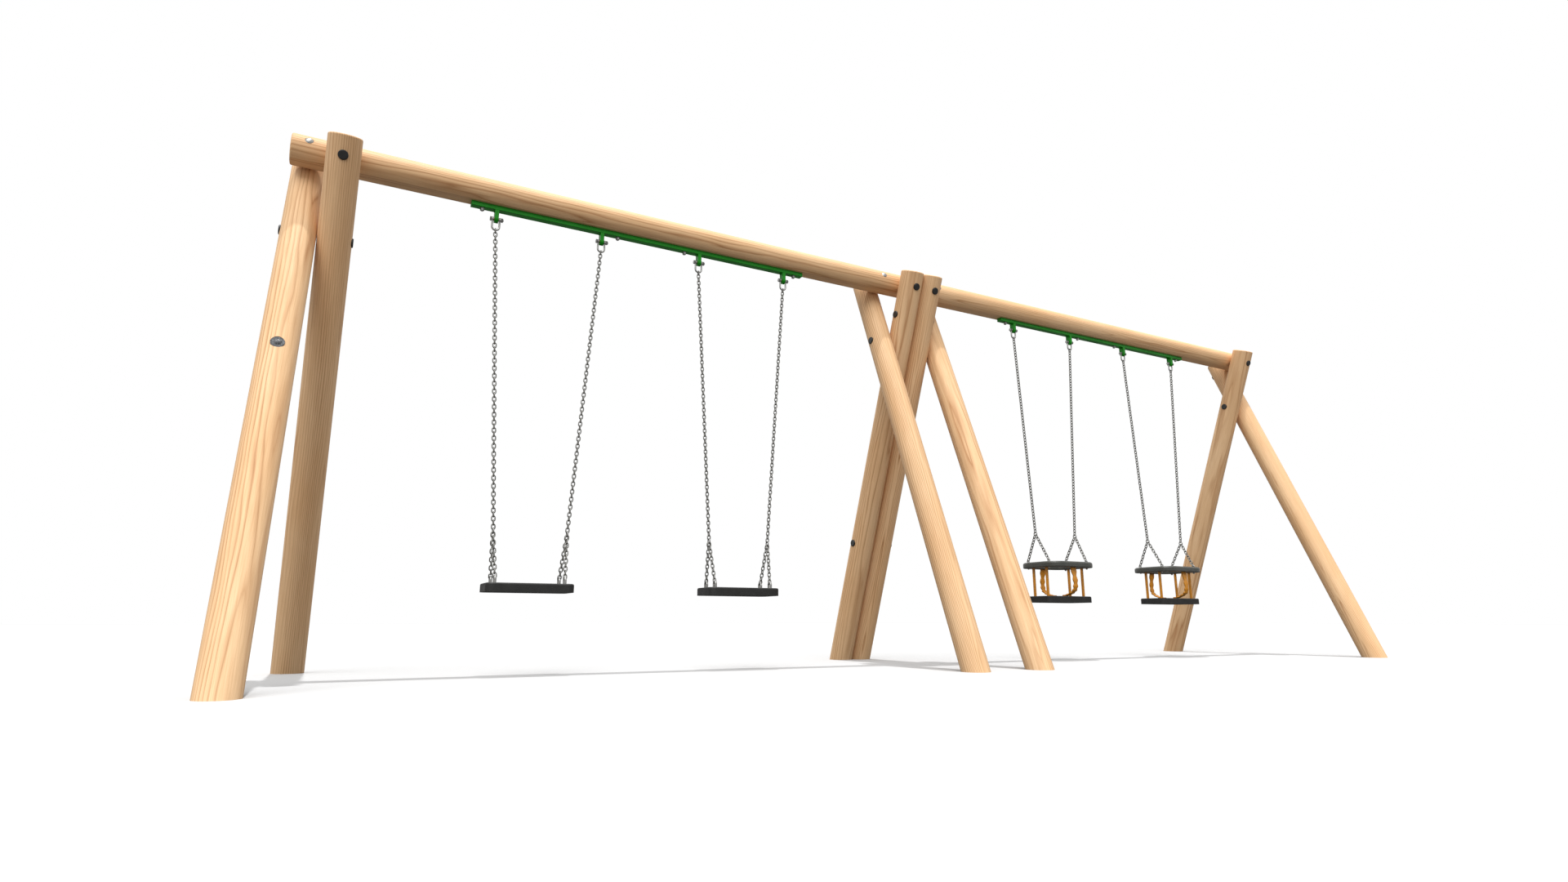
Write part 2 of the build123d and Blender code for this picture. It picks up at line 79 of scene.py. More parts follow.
# ---- chain links --------------------------------------------------------------------------
ARC_STEPS = 6                        # along each round end
WIRE_SIDES = 8                       # round the wire, and round a weld bead
LINK_WELD_SWELL = 1.16               # thickening of the wire at its own weld
LINK_WELD_REACH = 0.3                # of the straight run, to each side of that weld
FORK_SPREAD = math.radians(28.5)     # keeps the two fork links apart in their ring

# ---- weld beads between lugs and bars -----------------------------------------------------
BEAD_RADIUS = 0.0030
RIPPLE_LENGTH = 0.0032
RIPPLE_STEPS = 4
RIPPLE_SWELL = 0.13
BEAD_END = 0.35                      # share of the radius that is left at a bead's ends
BEAD_RISE = 8                        # how fast it thickens from there

# ---- scalloped straps of a cradle ---------------------------------------------------------
# distance to the front or rear and height of the strap's middle, from the rim down
STRAP_LINE = ((0.138, 0.618), (0.146, 0.567), (0.151, 0.520), (0.1485, 0.485), (0.139, 0.464),
              (0.118, 0.449), (0.090, 0.4375), (0.064, 0.431), (0.043, 0.4295))
STRAP_STATIONS = 90
STRAP_EDGE = 0.0022                  # rounding of the edges
STRAP_FLARE = 0.008                  # added to each side at the top
FLARE_LENGTH = 0.14                  # share of the strap
FLARE_CURVE = 1.5
SCALLOP_END = 0.97                   # the waves die out here, as a share of the strap
SCALLOP_FADE = 0.15                  # over this share of it

# ---- camera, lights and floor -------------------------------------------------------------
CAMERA_PLACE = (-3.226, -4.260, 0.2564)
CAMERA_YAW = 0.4929                  # from +Y towards +X
CAMERA_PITCH = 0.2134                # upwards
SENSOR_WIDTH = 36.0                  # millimetres
SIGHT = 300.0                        # how far the camera sees, in metres
KEY_DIRECTION = (0.0, 0.0, -1.0)
KEY_ANGLE = 1.2                      # degrees across, for crisp shadows
FILL_DIRECTION = (0.369, 0.527, -0.766)
FILL_ANGLE = 50.0                    # degrees across, for soft ones
FLOOR_REACH = 60.0                   # from the middle to each side, in metres


# ---- settings -----------------------------------------------------------------------
def colour_setting(name, description, default):
    return FloatVectorProperty(name=name, description=description, subtype="COLOR", size=3,
                               min=0.0, max=1.0, default=default)


def length_setting(name, description, default):
    return FloatProperty(name=name, description=description, unit="LENGTH", min=0.0,
                         default=default)


class SwingSetTimber(bpy.types.PropertyGroup):
    early_wood: colour_setting("Early wood", "Pale wood between the growth lines",
                               (0.86, 0.585, 0.34))
    late_wood: colour_setting("Late wood", "Darker wood of the growth lines", (0.53, 0.28, 0.128))
    ring_width: length_setting("Ring width", "Distance between two growth lines", 0.0082)
    grain_wander: FloatProperty(name="Grain wander", min=0.0, default=30.0,
                                description="How far the growth lines stray from straight")


class SwingSetSteel(bpy.types.PropertyGroup):
    galvanised: colour_setting("Galvanised steel", "Zinc coat of bolts and shackles",
                               (0.42, 0.42, 0.405))
    chain: colour_setting("Chain steel", "Zinc coat of the chains", (0.27, 0.268, 0.25))
    paint: colour_setting("Hanger bar paint", "Powder coat of bars and lugs",
                          (0.0015, 0.255, 0.002))
    bronze: colour_setting("Bronze", "Bushes in the lugs", (0.36, 0.21, 0.08))
    caps: colour_setting("Caps", "Plastic caps over the nuts", (0.014, 0.014, 0.013))
    plate: colour_setting("Round plate", "Blank plate on the first leg", (0.048, 0.051, 0.054))


class SwingSetChains(bpy.types.PropertyGroup):
    wire: length_setting("Link wire", "Diameter of a link's wire", 0.006)
    width: length_setting("Link width", "Outside width of a link", 0.0225)
    pitch: length_setting("Link pitch", "Inside length of a link, near enough", 0.020)


class SwingSetSeats(bpy.types.PropertyGroup):
    rubber: colour_setting("Seat rubber", "Moulded slabs", (0.0135, 0.0135, 0.0125))
    rim: colour_setting("Rim rubber", "Ring round a cradle seat", (0.050, 0.052, 0.044))
    amber: colour_setting("Amber plastic", "Posts and straps of a cradle seat",
                          (0.60, 0.235, 0.010))
    strap_width: length_setting("Strap width", "Cradle strap between its scallops", 0.036)
    strap_thickness: length_setting("Strap thickness", "Cradle strap", 0.009)
    scallop_depth: length_setting("Scallop depth", "Depth of the waves in a strap's edge", 0.0065)
    scallops: IntProperty(name="Scallops", description="Waves along one edge of a strap", min=1,
                          default=7)


class SwingSetStage(bpy.types.PropertyGroup):
    floor: colour_setting("Floor", "Plain pale floor", (0.52, 0.52, 0.52))
    sky: FloatProperty(name="Sky", description="Strength of the even light", min=0.0, default=0.8)
    bounce: FloatProperty(name="Floor bounce", min=0.0, max=1.0, default=0.10,
                          description="Share of light that the floor throws back up")
    key: FloatProperty(name="Key light", description="Strength of the light from above",
                       min=0.0, default=2.4)
    fill: FloatProperty(name="Fill light", description="Strength of the light from the front",
                        min=0.0, default=2.1)
    lens: FloatProperty(name="Lens", description="Focal length in millimetres", min=1.0,
                        default=19.113)


SETTINGS = {
    "swingset_timber": SwingSetTimber,
    "swingset_steel": SwingSetSteel,
    "swingset_chains": SwingSetChains,
    "swingset_seats": SwingSetSeats,
    "swingset_stage": SwingSetStage,
}


# ---- finishes -----------------------------------------------------------------------
def scaled(colour, factor):
    """A colour made lighter or darker."""
    return tuple(min(1.0, c * factor) for c in colour)


class Finish:
    """One material, with short ways to add nodes to it."""

    def __init__(self, name):
        self.material = bpy.data.materials.new(name)
        self.material.use_nodes = True
        self.tree = self.material.node_tree
        self.tree.nodes.clear()
        self.shader = self.node("BsdfPrincipled")
        surface = self.node("OutputMaterial")
        self.tree.links.new(self.shader.outputs["BSDF"], surface.inputs["Surface"])
        self.place = self.node("TexCoord").outputs["Object"]

    def node(self, kind, sockets=None, **choices):
        made = self.tree.nodes.new("ShaderNode" + kind)
        for choice, value in choices.items():
            setattr(made, choice, value)
        self.feed(made, sockets or {})
        return made

    def feed(self, node, sockets):
        for name, value in sockets.items():
            socket = node.inputs[name]
            if isinstance(value, bpy.types.NodeSocket):
                self.tree.links.new(value, socket)
            elif socket.type == "RGBA" and len(value) == 3:
                socket.default_value = (*value, 1.0)
            else:
                socket.default_value = value

    def stretched(self, place, scale, shift):
        sockets = {"Vector": place, "Scale": scale, "Location": shift}
        return self.node("Mapping", sockets).outputs["Vector"]

    def noise(self, scale, detail=2.0, roughness=0.5, place=None):
        sockets = {"Vector": place or self.place, "Scale": scale, "Detail": detail,
                   "Roughness": roughness}
        return self.node("TexNoise", sockets).outputs["Fac"]

    def ramp(self, factor, stops):
        """A colour ramp; each stop is a place and a grey or a colour."""
        made = self.node("ValToRGB", {"Fac": factor})
        elements = made.color_ramp.elements
        while len(elements) < len(stops):
            elements.new(1.0)
        for element, (at, colour) in zip(elements, stops):
            element.position = at
            element.color = (colour,) * 3 + (1.0,) if isinstance(colour, float) else (*colour, 1.0)
        return made.outputs["Color"]

    def mix(self, share, first, second):
        sockets = {"Fac": share, "Color1": first, "Color2": second}
        return self.node("MixRGB", sockets).outputs["Color"]

    def multiply(self, first, second, share=1.0):
        sockets = {"Fac": share, "Color1": first, "Color2": second}
        return self.node("MixRGB", sockets, blend_type="MULTIPLY").outputs["Color"]

    def add(self, first, second):
        return self.node("Math", {0: first, 1: second}, operation="ADD").outputs[0]

    def times(self, first, factor):
        return self.node("Math", {0: first, 1: factor}, operation="MULTIPLY").outputs[0]

    def bump(self, height, depth):
        sockets = {"Height": height, "Distance": depth, "Strength": 1.0}
        return self.node("Bump", sockets).outputs["Normal"]

    def shade(self, **sockets):
        """Feeds the shader's own sockets, and gives the material."""
        self.feed(self.shader, {name.replace("_", " "): value for name, value in sockets.items()})
        return self.material


def pine(name, timber, foot, turn, seed):
    """Turned pine: growth rings about a pith beside the pole's axis, with fibres along it."""
    finish = Finish(name)
    spin = Euler(turn).to_matrix()
    angle = seed * 2.4
    pith = Vector((math.cos(angle), math.sin(angle), 0.0)) * PITH_OFFSET
    middle = Vector(foot) + spin @ pith
    sockets = {"Vector": finish.place, "Location": middle, "Rotation": turn}
    pole = finish.node("Mapping", sockets, vector_type="TEXTURE").outputs["Vector"]
    drawn = finish.stretched(pole, (1.0, 1.0, 0.09), (0, 0, seed * 1.7))
    rings_scale = 2 * math.pi / (WAVE_RADIANS * timber.ring_width)
    sockets = {"Vector": drawn, "Scale": rings_scale, "Distortion": timber.grain_wander,
               "Detail": 3.5, "Detail Scale": 0.11, "Detail Roughness": 0.58}
    rings = finish.node("TexWave", sockets, wave_type="RINGS", rings_direction="Z",
                        wave_profile="SAW").outputs["Fac"]
    tone = 1.0 + 0.05 * math.sin(seed * 2.1)
    early = scaled(timber.early_wood, tone)
    late = scaled(timber.late_wood, tone)
    between = [pale * 0.45 + dark * 0.55 for pale, dark in zip(early, late)]
    lines = finish.ramp(rings, [(0.0, between), (0.14, early), (0.5, early), (0.84, between),
                                (0.94, late), (1.0, between)])
    streak_place = finish.stretched(pole, (1.0, 1.0, 0.05), (seed * 0.6, 0, 0))
    streaks = finish.noise(16.0, 2.0, 0.5, streak_place)
    strength = finish.ramp(streaks, [(0.36, 0.3), (0.60, 1.0)])
    colour = finish.mix(strength, early, lines)
    fibre_place = finish.stretched(pole, (1.0, 1.0, 0.018), (0, 0, seed * 0.31))
    fibres = finish.noise(420.0, 3.0, 0.6, fibre_place)
    fibre_tint = finish.ramp(fibres, [(0.3, (0.80, 0.74, 0.66)), (0.62, 1.0)])
    colour = finish.multiply(colour, fibre_tint, 0.75)
    broad_place = finish.stretched(pole, (1.0, 1.0, 0.22), (seed * 0.9, 0, 0))
    broad = finish.noise(7.0, 2.0, 0.5, broad_place)
    colour = finish.multiply(colour, finish.ramp(broad, [(0.3, (0.93, 0.86, 0.78)), (0.7, 1.0)]))
    height = finish.add(finish.times(fibres, 0.6), finish.times(rings, 0.4))
    roughness = finish.ramp(fibres, [(0.3, 0.72), (0.7, 0.56)])
    return finish.shade(Base_Color=colour, Roughness=roughness,
                        Normal=finish.bump(height, 0.0006), Specular_IOR_Level=0.35)


def zinc(name, colour, roughness=0.42, cell=260.0):
    """Hot-dip zinc: faint crystals and dull clouds."""
    finish = Finish(name)
    crystals = finish.node("TexVoronoi", {"Vector": finish.place, "Scale": cell}).outputs["Color"]
    grey = finish.node("RGBToBW", {"Color": crystals}).outputs["Val"]
    clouds = finish.noise(45.0, 3.0)
    tint = finish.ramp(grey, [(0.1, scaled(colour, 0.9)), (0.9, scaled(colour, 1.1))])
    tint = finish.multiply(tint, finish.ramp(clouds, [(0.3, 0.86), (0.65, 1.0)]))
    rough = finish.ramp(clouds, [(0.3, roughness + 0.08), (0.7, roughness - 0.08)])
    skin = finish.bump(finish.noise(700.0), 0.00012)
    return finish.shade(Base_Color=tint, Metallic=0.85, Roughness=rough, Normal=skin)


def powder_coat(name, colour):
    """Baked paint with a faint orange peel."""
    finish = Finish(name)
    clouds = finish.noise(9.0, 3.0)
    tint = finish.ramp(clouds, [(0.3, scaled(colour, 0.86)), (0.7, scaled(colour, 1.12))])
    rough = finish.ramp(clouds, [(0.3, 0.46), (0.7, 0.34)])
    peel = finish.bump(finish.noise(650.0, 1.0), 0.00018)
    return finish.shade(Base_Color=tint, Roughness=rough, Normal=peel, Specular_IOR_Level=0.3)


def granulate(name, colour, roughness, sheen=0.0):
    """Moulded rubber with a fine pebbled skin and scuffed patches."""
    finish = Finish(name)
    grains = finish.noise(900.0, 3.0, 0.6)
    scuffs = finish.noise(26.0, 4.0, 0.6)
    tint = finish.ramp(grains, [(0.3, scaled(colour, 0.72)), (0.7, scaled(colour, 1.35))])
    tint = finish.multiply(tint, finish.ramp(scuffs, [(0.35, 0.82), (0.65, 1.0)]))
    rough = finish.ramp(scuffs, [(0.3, roughness + 0.08), (0.7, roughness - 0.08)])
    skin = finish.bump(finish.noise(520.0, 2.0), 0.0004)
    return finish.shade(Base_Color=tint, Roughness=rough, Normal=skin, Sheen_Weight=sheen)


def moulded_plastic(name, colour, roughness):
    """Plastic with a fine moulded skin."""
    finish = Finish(name)
    clouds = finish.noise(30.0, 3.0)
    tint = finish.ramp(clouds, [(0.3, scaled(colour, 0.88)), (0.7, scaled(colour, 1.1))])
    rough = finish.ramp(finish.noise(140.0), [(0.3, roughness + 0.08), (0.7, roughness - 0.06)])
    skin = finish.bump(finish.noise(800.0, 2.0), 0.00015)
    return finish.shade(Base_Color=tint, Roughness=rough, Normal=skin)


def speckled_plate(name, colour):
    """Dull metal with light and dark specks."""
    finish = Finish(name)
    specks = finish.noise(170.0, 4.0, 0.75)
    tint = finish.ramp(specks, [(0.38, scaled(colour, 0.35)), (0.5, colour),
                                (0.62, scaled(colour, 2.2))])
    rough = finish.ramp(specks, [(0.3, 0.6), (0.7, 0.35)])
    skin = finish.bump(specks, 0.0003)
    return finish.shade(Base_Color=tint, Metallic=0.35, Roughness=rough, Normal=skin)


def cast_bronze(name, colour):
    """Bronze with darker patches."""
    finish = Finish(name)
    clouds = finish.noise(120.0, 3.0)
    tint = finish.ramp(clouds, [(0.3, scaled(colour, 0.75)), (0.7, scaled(colour, 1.15))])
    rough = finish.ramp(clouds, [(0.3, 0.5), (0.7, 0.3)])
    skin = finish.bump(finish.noise(500.0), 0.0001)
    return finish.shade(Base_Color=tint, Metallic=1.0, Roughness=rough, Normal=skin)


# ---- pieces ---------------------------------------------------------------------------
def coat(node, material):
    """Gives a carried-over piece its finish."""
    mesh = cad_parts[node].data
    mesh.materials.clear()
    mesh.materials.append(material)


def make_piece(name, points, faces, material, body, slot, *replaced):
    """A new mesh piece that rides on a body, and may stand for CAD nodes."""
    mesh = bpy.data.meshes.new(name)
    mesh.from_pydata([tuple(p) for p in points], [], faces)
    mesh.validate()
    for polygon in mesh.polygons:
        polygon.use_smooth = True
    mesh.materials.append(material)
    piece = bpy.data.objects.new(name, mesh)
    bpy.context.scene.collection.objects.link(piece)
    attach(piece, body)
    if replaced:
        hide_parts(*replaced)
    return piece


def middle_x(swing):
    """X of the middle of a swing."""
    low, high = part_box(f"{swing}_seat")
    return (low.x + high.x) / 2


def link_pattern(chains, pitch):
    """Points of one link: along the chain, across it, and out of the link's plane."""
    radius = chains.wire / 2
    half_width = (chains.width - chains.wire) / 2
    straight = (pitch + chains.wire) / 2 - half_width
    route = []
    for end in (1, -1):
        for step in range(ARC_STEPS + 1):
            turn = math.radians(-90 + 180 * step / ARC_STEPS)
            outward = (end * math.cos(turn), end * math.sin(turn))
            route.append((end * straight + half_width * outward[0], half_width * outward[1],
                          outward, 1.0))
        if end == 1:
            for share, swell in ((LINK_WELD_REACH, 1.0), (0.0, LINK_WELD_SWELL),
                                 (-LINK_WELD_REACH, 1.0)):
                route.append((straight * share, half_width, (0.0, 1.0), swell))
    points = []
    for along, across, outward, swell in route:
        for side in range(WIRE_SIDES):
            turn = 2 * math.pi * side / WIRE_SIDES
            reach = radius * swell * math.cos(turn)
            points.append((along + reach * outward[0], across + reach * outward[1],
                           radius * swell * math.sin(turn)))
    return points, tube_faces(len(route), WIRE_SIDES, closed=True)


def tube_faces(rings, sides, closed=False, start=0):
    """Faces between the rings of a tube; a closed one joins its last ring to its first."""
    faces = []
    for ring in range(rings if closed else rings - 1):
        following = (ring + 1) % rings
        for side in range(sides):
            beside = (side + 1) % sides
            corners = (ring * sides + side, ring * sides + beside, following * sides + beside,
                       following * sides + side)
            faces.append(tuple(start + c for c in corners))
    return faces


def add_chain(points, faces, chains, start, end, first_face_on, odd):
    """Links from start to end, which are the middles of the outer links' wires.

    odd asks for an odd number of links, and first_face_on turns the first one flat to the
    front, so that each link hangs square to its neighbour and to the fitting it is in.
    """
    run = end - start
    along = run.normalized()
    face_on = (Vector((1, 0, 0)) - along * along.x).normalized()
    edge_on = along.cross(face_on)
    free = run.length - chains.wire
    count = max(1, round(free / chains.pitch))
    if count % 2 != int(odd):
        count += 1 if free / chains.pitch > count else -1
    pitch = free / count
    pattern, pattern_faces = link_pattern(chains, pitch)
    for number in range(count):
        centre = start + along * ((pitch + chains.wire) / 2 + number * pitch)
        is_face_on = (number % 2 == 0) == first_face_on
        across, out = (face_on, edge_on) if is_face_on else (edge_on, -face_on)
        shift = len(points)
        points.extend(centre + along * a + across * b + out * c for a, b, c in pattern)
        faces.extend(tuple(shift + v for v in face) for face in pattern_faces)


def ring_middles(swing):
    """Middles of a swing's two joining rings."""
    low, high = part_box(f"{swing}_fork_rings")
    z = (low.z + high.z) / 2
    return [Vector((low.x + RING_WIRE_RADIUS, 0, z)), Vector((high.x - RING_WIRE_RADIUS, 0, z))]


def seat_fittings(swing, chains):
    """Where the last link's wire sits in a seat's fittings, as one pair for each end."""
    if swing in FLAT_SWINGS:
        low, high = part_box(f"{swing}_seat_loops")
        wire_radius, half_width, reach_y = LOOP_WIRE_RADIUS, LOOP_WIRE_RADIUS, LOOP_REACH_Y
    else:
        low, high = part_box(f"{swing}_eye_bolts")
        wire_radius, half_width, reach_y = EYE_WIRE_RADIUS, EYE_HALF_WIDTH, EYE_REACH_Y
    z = high.z - 2 * wire_radius - chains.wire / 2
    xs = (low.x + half_width, high.x - half_width)
    return [[Vector((x, y, z)) for y in (-reach_y, reach_y)] for x in xs]


# ---- operators -------------------------------------------------------------------------
class SWINGSET_OT_timber(bpy.types.Operator):
    """Finish the legs and beams as turned pine"""
    bl_idname = "swingset.timber"
    bl_label = "Timber"

    def execute(self, context):
        timber = context.scene.swingset_timber
        for number in range(1, 5):
            for kind, side in (("front", -1), ("rear", 1)):
                node = f"{kind}_leg_{number}"
                low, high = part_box(node)
                foot_y = side * (max(abs(low.y), abs(high.y)) - POLE_RADIUS / math.cos(LEAN))
                foot = ((low.x + high.x) / 2, foot_y, 0.0)
                seed = number + (0 if kind == "front" else 4)
                coat(node, pine(f"pine_{node}", timber, foot, (side * LEAN, 0, 0), seed))
        for number, node in enumerate(("left_beam", "right_beam")):
            low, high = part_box(node)
            turn = (0, math.radians(90), 0)
            coat(node, pine(f"pine_{node}", timber, (low.x, 0, BEAM_AXIS_Z), turn, 9 + number))
        return {"FINISHED"}


class SWINGSET_OT_steelwork(bpy.types.Operator):
    """Finish the hanger bars, bolts, nuts, caps and the round plate"""
    bl_idname = "swingset.steelwork"
    bl_label = "Steelwork"

    def execute(self, context):
        steel = context.scene.swingset_steel
        green = powder_coat("green_powder_coat", steel.paint)
        for side in ("left", "right"):
            coat(f"{side}_hanger_bar", green)
            coat(f"{side}_hanger_lugs", green)
        galvanised = zinc("galvanised_steel", steel.galvanised)
        for node in ("hanger_bar_bolts", "hanger_bar_washers", "hanger_bar_nuts", "leg_bolts",
                     "crossing_rods", "tie_rods", "recessed_washers", "recessed_nuts"):
            coat(node, galvanised)
        for swing in SWINGS:
            for part in ("shackles", "shackle_bolts", "fork_rings"):
                coat(f"{swing}_{part}", galvanised)
        for swing in FLAT_SWINGS:
            coat(f"{swing}_seat_loops", galvanised)
        for swing in CRADLE_SWINGS:
            coat(f"{swing}_eye_bolts", galvanised)
        coat("nut_caps", moulded_plastic("black_cap_plastic", steel.caps, 0.42))
        coat("lug_bushes", cast_bronze("bush_bronze", steel.bronze))
        coat("blank_disc", speckled_plate("speckled_plate", steel.plate))
        return {"FINISHED"}


def shackle_middles(swing):
    """X of the middle of a swing's two shackles."""
    low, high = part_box(f"{swing}_shackles")
    half_shackle = BOW_SPAN / 2 + BOW_WIRE_RADIUS
    return low.x + half_shackle, high.x - half_shackle


def add_weld(points, faces, middle):
    """Rippled beads along the two outer faces of a lug, where it meets its bar."""
    corners = ((-LUG_HALF_WIDTH, -LUG_HALF_DEPTH), (LUG_HALF_WIDTH, -LUG_HALF_DEPTH),
               (LUG_HALF_WIDTH, LUG_HALF_DEPTH), (-LUG_HALF_WIDTH, LUG_HALF_DEPTH))
    for first in (1, 3):
        begin, end = Vector(corners[first]), Vector(corners[(first + 1) % 4])
        run = end - begin
        steps = round(run.length / RIPPLE_LENGTH) * RIPPLE_STEPS
        side = Vector((run.y, -run.x)).normalized()
        start = len(points)
        for step in range(steps + 1):
            share = step / steps
            swell = 1.0 + RIPPLE_SWELL * math.sin(2 * math.pi * step / RIPPLE_STEPS)
            taper = min(1.0, BEAD_END + BEAD_RISE * min(share, 1 - share))
            spot = begin + run * share
            radius = BEAD_RADIUS * swell * taper
            for corner in range(WIRE_SIDES):
                turn = 2 * math.pi * corner / WIRE_SIDES
                out = radius * math.cos(turn)
                points.append((middle + spot.x + side.x * out, spot.y + side.y * out,
                               BAR_UNDERSIDE_Z + radius * math.sin(turn)))
        faces.extend(tube_faces(steps + 1, WIRE_SIDES, start=start))
        faces.append(tuple(start + s for s in reversed(range(WIRE_SIDES))))
        last = start + steps * WIRE_SIDES
        faces.append(tuple(last + s for s in range(WIRE_SIDES)))


class SWINGSET_OT_welds(bpy.types.Operator):
    """Make the weld beads between the hanger bars and their lugs"""
    bl_idname = "swingset.welds"
    bl_label = "Welds"

    def execute(self, context):
        green = powder_coat("welded_powder_coat", context.scene.swingset_steel.paint)
        for side, swings in (("left", FLAT_SWINGS), ("right", CRADLE_SWINGS)):
            points, faces = [], []
            for swing in swings:
                for middle in shackle_middles(swing):
                    add_weld(points, faces, middle)
            make_piece(f"{side}_weld_beads", points, faces, green, "frame", "green_paint")
        return {"FINISHED"}


class SWINGSET_OT_chains(bpy.types.Operator):
    """Make every chain link by link, from the shackles to the joining rings and on to the seats"""
    bl_idname = "swingset.chains"
    bl_label = "Chains"

    def execute(self, context):
        chains = context.scene.swingset_chains
        material = zinc("chain_steel", context.scene.swingset_steel.chain, 0.46, 420.0)
        hook_z = BOW_WIRE_Z + BOW_WIRE_RADIUS + chains.wire / 2
        grip = chains.wire / 2 + RING_WIRE_RADIUS
        for swing in SWINGS:
            rings = ring_middles(swing)
            low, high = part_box(f"{swing}_fork_rings")
            inside = (high.z - low.z) / 2 - RING_WIRE_RADIUS - grip
            points, faces = [], []
            for top_x, ring in zip(shackle_middles(swing), rings):
                start = Vector((top_x, 0, hook_z))
                end = ring + Vector((0, 0, inside))
                add_chain(points, faces, chains, start, end, first_face_on=False, odd=False)
            make_piece(f"{swing}_long_link_chains", points, faces, material, f"{swing}_hangers",
                       "chain_steel", f"{swing}_chains")
            points, faces = [], []
            for ring, fittings in zip(rings, seat_fittings(swing, chains)):
                for fitting in fittings:
                    side = 1 if fitting.y > 0 else -1
                    run = fitting - ring
                    slope = max(FORK_SPREAD, math.atan2(abs(run.y), abs(run.z)))
                    start = ring + Vector((0, side * math.sin(slope), -math.cos(slope))) * inside
                    add_chain(points, faces, chains, start, fitting, first_face_on=True, odd=True)
            make_piece(f"{swing}_fork_link_chains", points, faces, material, f"{swing}_carrier",
                       "chain_steel", f"{swing}_fork_chains")
        return {"FINISHED"}


class SWINGSET_OT_flat_seats(bpy.types.Operator):
    """Finish the two flat rubber seats"""
    bl_idname = "swingset.flat_seats"
    bl_label = "Flat seats"

    def execute(self, context):
        rubber = granulate("seat_rubber", context.scene.swingset_seats.rubber, 0.66)
        for swing in FLAT_SWINGS:
            coat(f"{swing}_seat", rubber)
        return {"FINISHED"}


def smooth_line(knots, count):
    """Evenly numbered points on a smooth curve through the knots."""
    padded = [2 * knots[0] - knots[1]] + list(knots) + [2 * knots[-1] - knots[-2]]
    line = []
    for step in range(count):
        place = step * (len(knots) - 1) / (count - 1)
        first = min(int(place), len(knots) - 2)
        t = place - first
        a, b, c, d = padded[first:first + 4]
        line.append(0.5 * (2 * b + (c - a) * t + (2 * a - 5 * b + 4 * c - d) * t * t
                           + (3 * b - a - 3 * c + d) * t ** 3))
    return line


def strap_section(half_width, half_thickness):
    """Rounded outline of a strap, across and through it."""
    outline = []
    flat_width = half_width - STRAP_EDGE
    flat_thickness = half_thickness - STRAP_EDGE
    for corner_x, corner_t, first in ((1, 1, 0), (-1, 1, 90), (-1, -1, 180), (1, -1, 270)):
        for step in range(3):
            turn = math.radians(first + 45 * step)
            outline.append((corner_x * flat_width + STRAP_EDGE * math.cos(turn),
                            corner_t * flat_thickness + STRAP_EDGE * math.sin(turn)))
    return outline


def add_strap(points, faces, seats, middle, side):
    """A flat strap with waved edges; side is -1 at the front and 1 at the rear."""
    knots = [Vector((middle, side * y, z)) for y, z in STRAP_LINE]
    line = smooth_line(knots, STRAP_STATIONS)
    start = len(points)
    sides = 0
    for number, centre in enumerate(line):
        ahead = line[min(number + 1, len(line) - 1)]
        behind = line[max(number - 1, 0)]
        along = (ahead - behind).normalized()
        through = Vector((1, 0, 0)).cross(along)
        share = number / (len(line) - 1)
        wave = -math.cos(2 * math.pi * seats.scallops * share) * seats.scallop_depth / 2
        fade = min(1.0, max(0.0, (SCALLOP_END - share) / SCALLOP_FADE))
        flare = STRAP_FLARE * max(0.0, 1.0 - share / FLARE_LENGTH) ** FLARE_CURVE
        half_width = seats.strap_width / 2 + flare + wave * fade
        section = strap_section(half_width, seats.strap_thickness / 2)
        sides = len(section)
        for across, depth in section:
            points.append(centre + Vector((across, 0, 0)) + through * depth)
    faces.extend(tube_faces(len(line), sides, start=start))
    faces.append(tuple(start + s for s in reversed(range(sides))))
    last = start + (len(line) - 1) * sides
    faces.append(tuple(last + s for s in range(sides)))


class SWINGSET_OT_cradle_seats(bpy.types.Operator):
    """Make the scalloped straps and finish the rest of the two cradle seats"""
    bl_idname = "swingset.cradle_seats"
    bl_label = "Cradle seats"

    def execute(self, context):
        seats = context.scene.swingset_seats
        rubber = granulate("cradle_slab_rubber", seats.rubber, 0.66)
        rim = granulate("cradle_rim_rubber", seats.rim, 0.42, 0.1)
        amber = moulded_plastic("amber_plastic", seats.amber, 0.40)
        for swing in CRADLE_SWINGS:
            coat(f"{swing}_seat", rubber)
            coat(f"{swing}_rim", rim)
            coat(f"{swing}_posts", amber)
            points, faces = [], []
            for side in (-1, 1):
                add_strap(points, faces, seats, middle_x(swing), side)
            make_piece(f"{swing}_scalloped_straps", points, faces, amber, f"{swing}_carrier",
                       "amber", f"{swing}_spines")
        return {"FINISHED"}


def add_floor(stage):
    """A pale floor that throws little light back up."""
    mesh = bpy.data.meshes.new("floor")
    reach = FLOOR_REACH
    corners = [(-reach, -reach, 0), (reach, -reach, 0), (reach, reach, 0), (-reach, reach, 0)]
    mesh.from_pydata(corners, [], [(0, 1, 2, 3)])
    finish = Finish("pale_floor")
    clouds = finish.noise(0.8, 3.0)
    tint = finish.ramp(clouds, [(0.3, scaled(stage.floor, 0.985)), (0.7, stage.floor)])
    seen = finish.node("LightPath").outputs["Is Camera Ray"]
    tint = finish.mix(seen, (stage.bounce,) * 3, tint)
    mesh.materials.append(finish.shade(Base_Color=tint, Roughness=0.9, Specular_IOR_Level=0.0))
    floor = bpy.data.objects.new("floor", mesh)
    bpy.context.scene.collection.objects.link(floor)


